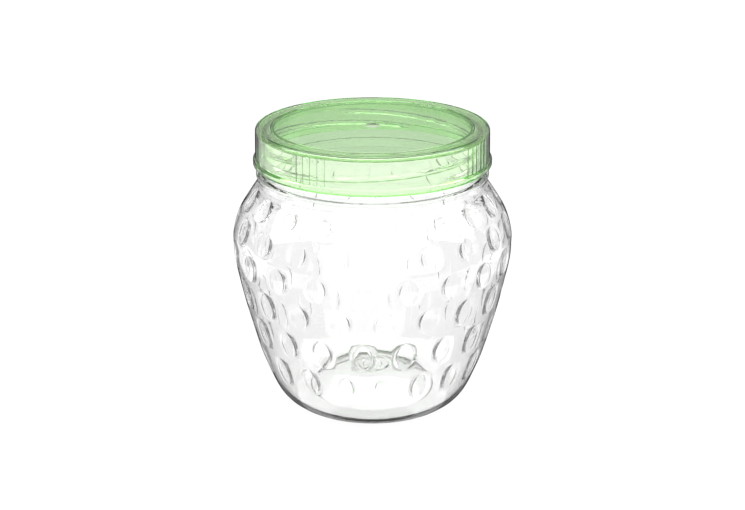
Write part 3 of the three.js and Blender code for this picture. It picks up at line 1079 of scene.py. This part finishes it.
@dataclass
class ScrewLid:
    """The green lid: panel, rounded rim, ribbed skirt, bead, seal retainer and thread."""

    fit: NeckFit
    name: str = "screw_lid"
    columns: int = 480
    skirt_wall: float = 1.35 * MM
    draft: float = 0.35 * MM
    rim_round: float = 1.6 * MM
    bead_height: float = 2.9 * MM
    bead_round: float = 0.6 * MM
    skirt_round: float = 0.6 * MM  # of the skirt's inner corners
    fine_round: float = 0.25 * MM
    panel_step: float = 0.4 * MM
    mark_radius: float = 3.2 * MM
    mark_depth: float = 0.12 * MM
    retainer_wall: float = 1.2 * MM
    retainer_depth: float = 3.0 * MM
    retainer_draft: float = 0.2 * MM
    seat_gap: float = 0.3 * MM
    flank_gap: float = 0.35 * MM
    thread_root: float = 1.7 * MM
    thread_crest: float = 0.9 * MM
    thread_turn: float = 45.0
    thread_rise: float = 0.1 * MM  # lid's lower edge to the lower flank of a ridge
    thread_facet: float = 0.3 * MM
    rib_groups: int = 4
    ribs_in_group: int = 5
    rib_azimuth: float = 59.0
    rib_pitch_facets: int = 5
    rib_facets: int = 3
    rib_stand: float = 0.3 * MM
    rib_round: float = 0.14 * MM
    rib_round_facets: int = 2
    turned_crisp_angle: float = 50.0
    ribbed_crisp_angle: float = 40.0

    def __post_init__(self) -> None:
        """Take the lid's top, bottom and bead from the frame."""
        low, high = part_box("lid")
        self.bottom, self.top, self.bead_radius = low.z, high.z, high.x
        self.under = self.fit.seal_high + self.seat_gap
        self.skirt_radius = self.fit.lid_inner + self.skirt_wall

    def thread(self) -> Thread:
        """Lay out the lid's ridges, which run just below the neck's.

        Returns:
            The thread.
        """
        foot = self.bottom + self.thread_rise + self.thread_root / 2
        gap = (self.fit.thread_root + self.thread_root) / 2 + self.flank_gap
        climb = foot + gap - self.fit.ridge_foot
        return Thread(
            side=Side.INSIDE,
            wall=self.fit.lid_inner,
            stand=self.fit.thread_stand,
            root=self.thread_root,
            crest=self.thread_crest,
            azimuth=self.fit.thread_azimuth + FULL_TURN * climb / self.fit.lead,
            foot=foot,
            turn=self.thread_turn,
            lead=self.fit.lead,
        )

    def outline(self) -> list[Vector]:
        """Draw the lid from the middle of its underside, round its skirt, to the middle of its panel.

        Returns:
            The outline's points.
        """
        inner, keep = self.fit.lid_inner, PANEL_RADIUS
        keep_out = keep + self.retainer_wall
        keep_low = self.under - self.retainer_depth
        bead_top = self.bottom + self.bead_height
        panel_top = self.top - self.panel_step
        mark_top = panel_top - self.mark_depth
        soft, fine = self.skirt_round, self.fine_round
        corners = [
            Corner(0, self.under),
            Corner(keep, self.under, fine),
            Corner(keep + self.retainer_draft, keep_low, fine),
            Corner(keep_out - self.retainer_draft, keep_low, fine),
            Corner(keep_out, self.under, fine),
            Corner(inner, self.under, soft),
            Corner(inner, self.bottom, soft),
            Corner(self.bead_radius, self.bottom, self.bead_round),
            Corner(self.bead_radius, bead_top - self.bead_round, self.bead_round),
            Corner(self.skirt_radius + self.draft, bead_top, fine),
            Corner(self.skirt_radius, self.top, self.rim_round),
            Corner(keep + self.panel_step, self.top, fine),
            Corner(keep, panel_top, fine),
            Corner(self.mark_radius, panel_top, self.mark_depth / 2),
            Corner(self.mark_radius - self.mark_depth, mark_top, self.mark_depth / 2),
            Corner(0, mark_top),
        ]
        points = rounded(corners)
        thread = self.thread()
        high = thread.foot + thread.root + thread.lead * thread.turn / FULL_TURN
        lowest = min(range(len(points)), key=lambda i: points[i].y)
        carrier = divided(points[: lowest + 1], self.bottom + soft, high, self.thread_facet)
        return carrier + points[lowest + 1 :]

    def raise_ribs(self, lid: bpy.types.Object) -> None:
        """Raise the grip ribs out of the skirt's outer face.

        Args:
            lid: The turned lid.
        """
        facet = FULL_TURN / self.columns
        pitch, width = self.rib_pitch_facets * facet, self.rib_facets * facet
        low, high = self.bottom + self.bead_height, self.top - self.rim_round
        places = [i - (self.ribs_in_group - 1) / 2 for i in range(self.ribs_in_group)]
        groups = [self.rib_azimuth + FULL_TURN * i / self.rib_groups for i in range(self.rib_groups)]
        middles = [group + place * pitch for group in groups for place in places]
        Bench.pick(lid)
        Bench.mode("EDIT")
        bpy.ops.mesh.select_mode(type="FACE")
        bpy.ops.mesh.select_all(action="DESELECT")
        mesh = bmesh.from_edit_mesh(lid.data)
        mesh.normal_update()
        for face in mesh.faces:
            centre = face.calc_center_median()
            outside = math.hypot(centre.x, centre.y) >= self.skirt_radius - self.skirt_wall / 2
            if outside and low < centre.z < high:
                here = azimuth_of(centre)
                face.select = min(abs(turn_between(middle, here)) for middle in middles) < width / 2
        bmesh.update_edit_mesh(lid.data)
        bpy.ops.mesh.extrude_region_shrink_fatten(TRANSFORM_OT_shrink_fatten={"value": self.rib_stand})
        bpy.ops.mesh.region_to_loop()
        bpy.ops.mesh.bevel(offset=self.rib_round, segments=self.rib_round_facets)
        Bench.mode("OBJECT")

    def build(self) -> bpy.types.Object:
        """Model the lid.

        Returns:
            The finished lid, closed and smooth.
        """
        lid = Bench.turned(self.name, self.outline(), self.columns, self.rib_azimuth)
        self.thread().cut(lid)
        Bench.sealed(lid, self.turned_crisp_angle)
        self.raise_ribs(lid)
        Bench.sealed(lid, self.ribbed_crisp_angle)
        Bench.flattened(lid)
        return lid

    def dress(self, finish: GreenPolypropylene) -> bpy.types.Object:
        """Model the lid, give it its finish and set it on its body.

        Args:
            finish: What it is made of.

        Returns:
            The dressed lid.
        """
        lid = self.build()
        lid.data.materials.append(finish.make())
        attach(lid, "lid")
        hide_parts("lid")
        return lid


@dataclass
class SealingRing:
    """The flat ring between the mouth rim and the lid."""

    fit: NeckFit
    name: str = "soft_sealing_ring"
    columns: int = 240
    edge_round: float = 0.25 * MM
    crisp_angle: float = 50.0

    def build(self) -> bpy.types.Object:
        """Model the ring.

        Returns:
            The finished ring.
        """
        inner = self.fit.mouth_radius - self.fit.seal_overlap
        outer = self.fit.neck_radius + self.fit.seal_overlap
        low, high = self.fit.seal_low, self.fit.seal_high
        start = Corner(inner, (low + high) / 2)
        around = ((inner, low), (outer, low), (outer, high), (inner, high))
        corners = [start, *(Corner(out, up, self.edge_round) for out, up in around), start]
        ring = Bench.turned(self.name, rounded(corners), self.columns)
        Bench.sealed(ring, self.crisp_angle)
        Bench.flattened(ring)
        return ring

    def dress(self, finish: SoftElastomer) -> bpy.types.Object:
        """Model the ring, give it its finish and set it on its body.

        Args:
            finish: What it is made of.

        Returns:
            The dressed ring.
        """
        ring = self.build()
        ring.data.materials.append(finish.make())
        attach(ring, "seal")
        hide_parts("sealing_ring")
        return ring


@dataclass(frozen=True)
class Softbox:
    """A soft rectangular light far off, by the direction of its middle, half-size and edge, in degrees."""

    azimuth: float
    elevation: float
    half_width: float
    half_height: float
    level: float
    edge: float = 2.0

    def covering(
        self, tree: bpy.types.NodeTree, azimuth: bpy.types.Node, elevation: bpy.types.Node
    ) -> bpy.types.Node:
        """Build the level that this box adds in each direction.

        Args:
            tree: The world's node tree.
            azimuth: Node with the direction's azimuth in radians.
            elevation: Node with its elevation in radians.

        Returns:
            A node with the box's level inside it and nothing outside.
        """
        level = self.level
        for angle, middle, half in (
            (azimuth, self.azimuth, self.half_width),
            (elevation, self.elevation, self.half_height),
        ):
            turn = node(tree, "Math", {0: angle, 1: math.radians(middle)}, operation="SUBTRACT")
            aside = node(tree, "Math", {0: turn, 1: -math.pi, 2: math.pi}, operation="WRAP")
            away = node(tree, "Math", {0: aside}, operation="ABSOLUTE")
            edges = {"From Min": math.radians(half), "From Max": math.radians(half + self.edge)}
            fade = {"Value": away, **edges, "To Min": level, "To Max": 0.0}
            level = node(tree, "MapRange", fade, interpolation_type="SMOOTHSTEP")
        return level


@dataclass
class Studio:
    """A white backdrop and floor, soft lights round a dim room, and the camera."""

    room_level: float = 0.4
    softboxes: tuple[Softbox, ...] = (
        Softbox(8.5, 23.5, 46.0, 25.0, 1.6),  # the window in front
        Softbox(0.0, -20.0, 142.0, 4.0, 1.2, 5.0),  # low light on all sides but behind, for upright walls
        Softbox(-110.0, -15.0, 16.0, 5.0, 1.8, 4.0),  # and more of it for the lid's sides
        Softbox(110.0, -15.0, 16.0, 5.0, 1.8, 4.0),
        Softbox(0.0, -58.0, 180.0, 8.0, 1.1, 3.0),  # the bright table round the foot
    )
    flag: Softbox = Softbox(180.0, -24.0, 18.0, 16.0, 1.0, 4.0)  # a black card behind, for dark edges
    ceiling_level: float = 4.0
    ceiling_half_width: float = 40.0  # degrees from straight up to its front and back edges
    ceiling_edge: float = 2.0
    ceiling_taper: float = 0.17  # how much its edges draw in towards its ends
    floor_radius: float = 3.0
    floor_facets: int = 128
    floor_drop: float = 0.05 * MM  # below the object, so that the two faces stay apart
    floor_shadow_share: float = 0.06
    floor_level: float = 1.02
    floor_colour: str = "#CFCFCF"
    focal_pixels: float = 1200.0  # the photograph's focal length in its own pixels
    frame_pixels: float = 745.0  # and its width
    sensor: float = 36.0
    camera_distance: float = 498.0 * MM
    camera_height: float = 256.4 * MM
    camera_pitch: float = 21.09
    clear_bounces: int = 32  # the light goes through many walls
    gloss_bounces: int = 12

    def seen_through(self, tree: bpy.types.NodeTree, extra_depth: int = 0) -> bpy.types.Node:
        """Tell rays that come straight from the eye, through clear plastic or not, from reflected ones.

        Args:
            tree: The node tree.
            extra_depth: What the world's ray depth counts beyond a surface's, which is 1.

        Returns:
            A node that is 1 for such rays.
        """
        path = node(tree, "LightPath").outputs
        rays = {0: path["Is Camera Ray"], 1: path["Is Transmission Ray"]}
        direct = node(tree, "Math", rays, operation="MAXIMUM")
        depth = node(tree, "Math", {0: path["Ray Depth"], 1: extra_depth}, operation="SUBTRACT")
        depths = {0: depth, 1: path["Transmission Depth"], 2: SAME_COUNT}
        unreflected = node(tree, "Math", depths, operation="COMPARE")
        return node(tree, "Math", {0: direct, 1: unreflected}, operation="MULTIPLY")

    def ceiling(self, tree: bpy.types.NodeTree, axes: bpy.types.bpy_prop_collection) -> bpy.types.Node:
        """Build the level of the bright ceiling, whose edges draw in towards its ends.

        Args:
            tree: The world's node tree.
            axes: The direction's X, Y and Z.

        Returns:
            A node with the ceiling's level inside it and nothing outside.
        """
        aside = node(tree, "Math", {0: axes["X"]}, operation="ABSOLUTE")
        near = node(tree, "Math", {0: axes["Y"]}, operation="ABSOLUTE")
        widened = {0: aside, 1: self.ceiling_taper, 2: near}
        depth = node(tree, "Math", widened, operation="MULTIPLY_ADD")
        tilt = node(tree, "Math", {0: depth, 1: axes["Z"]}, operation="ARCTAN2")
        edges = {
            "From Min": math.radians(self.ceiling_half_width),
            "From Max": math.radians(self.ceiling_half_width + self.ceiling_edge),
        }
        fade = {"Value": tilt, **edges, "To Min": self.ceiling_level, "To Max": 0.0}
        return node(tree, "MapRange", fade, interpolation_type="SMOOTHSTEP")

    def light_from(self, tree: bpy.types.NodeTree) -> bpy.types.Node:
        """Build the room's light as it depends on direction.

        Args:
            tree: The world's node tree.

        Returns:
            A node with the level of light.
        """
        direction = node(tree, "TexCoord").outputs["Generated"]
        axes = node(tree, "SeparateXYZ", {0: direction}).outputs
        back = node(tree, "Math", {0: axes["Y"], 1: -1.0}, operation="MULTIPLY")
        azimuth = node(tree, "Math", {0: axes["X"], 1: back}, operation="ARCTAN2")
        elevation = node(tree, "Math", {0: axes["Z"]}, operation="ARCSINE")
        total = self.ceiling(tree, axes)
        for box in self.softboxes:
            lit = box.covering(tree, azimuth, elevation)
            total = node(tree, "Math", {0: total, 1: lit}, operation="MAXIMUM")
        room = node(tree, "Math", {0: total, 1: self.room_level}, operation="MAXIMUM")
        hidden = self.flag.covering(tree, azimuth, elevation)
        kept = node(tree, "Math", {0: 1.0, 1: hidden}, operation="SUBTRACT")
        return node(tree, "Math", {0: room, 1: kept}, operation="MULTIPLY")

    def make_world(self) -> None:
        """Make the backdrop, white to the eye, and the room's light, which the rest sees."""
        world = bpy.data.worlds.new("studio")
        world.use_nodes = True
        bpy.context.scene.world = world
        tree = world.node_tree
        tree.nodes.clear()
        seen = self.seen_through(tree, extra_depth=1)
        level = node(tree, "Mix", {"Factor": seen, "A": self.light_from(tree), "B": 1.0})
        background = node(tree, "Background", {"Color": WHITE, "Strength": level})
        node(tree, "OutputWorld", {"Surface": background})

    def make_floor(self) -> bpy.types.Object:
        """Lay the pale floor, which keeps a trace of the shadow and lets reflections see the room.

        Returns:
            The floor.
        """
        Bench.clear()
        bpy.ops.mesh.primitive_circle_add(
            vertices=self.floor_facets,
            radius=self.floor_radius,
            fill_type="NGON",
            location=(0, 0, -self.floor_drop),
        )
        floor = bpy.context.object
        floor.name = "floor"
        material = blank_material("pale_floor")
        tree = material.node_tree
        lit = node(tree, "BsdfDiffuse", {"Color": linear(self.floor_colour)})
        white = node(tree, "Emission", {"Color": WHITE, "Strength": self.floor_level})
        shown = node(tree, "MixShader", {0: self.floor_shadow_share, 1: white, 2: lit})
        open_floor = node(tree, "BsdfTransparent")
        mixed = node(tree, "MixShader", {0: self.seen_through(tree), 1: open_floor, 2: shown})
        node(tree, "OutputMaterial", {"Surface": mixed})
        floor.data.materials.append(material)
        return floor

    def place_camera(self) -> None:
        """Stand the camera where the photograph was taken from."""
        lens = bpy.data.cameras.new("camera")
        lens.sensor_width = self.sensor
        lens.lens = self.focal_pixels / self.frame_pixels * self.sensor
        camera = bpy.data.objects.new("camera", lens)
        camera.location = (0, -self.camera_distance, self.camera_height)
        camera.rotation_euler = Euler((math.radians(90 - self.camera_pitch), 0, 0))
        bpy.context.scene.collection.objects.link(camera)
        bpy.context.scene.camera = camera

    def set_up(self) -> None:
        """Set the stage, the light, the camera and the plain view of colour."""
        self.place_camera()
        self.make_world()
        self.make_floor()
        scene = bpy.context.scene
        scene.view_settings.view_transform = "Standard"
        scene.cycles.max_bounces = self.clear_bounces
        scene.cycles.transmission_bounces = self.clear_bounces
        scene.cycles.glossy_bounces = self.gloss_bounces


def main() -> None:
    """Build the jar, the ring and the lid."""
    logging.basicConfig(level=logging.INFO, format="%(name)s: %(message)s")
    Studio().set_up()
    fit = NeckFit()
    pieces = [
        BlownJar(fit).dress(BlownPolyester()),
        SealingRing(fit).dress(SoftElastomer()),
        ScrewLid(fit).dress(GreenPolypropylene()),
    ]


if __name__ == "__main__":
    main()
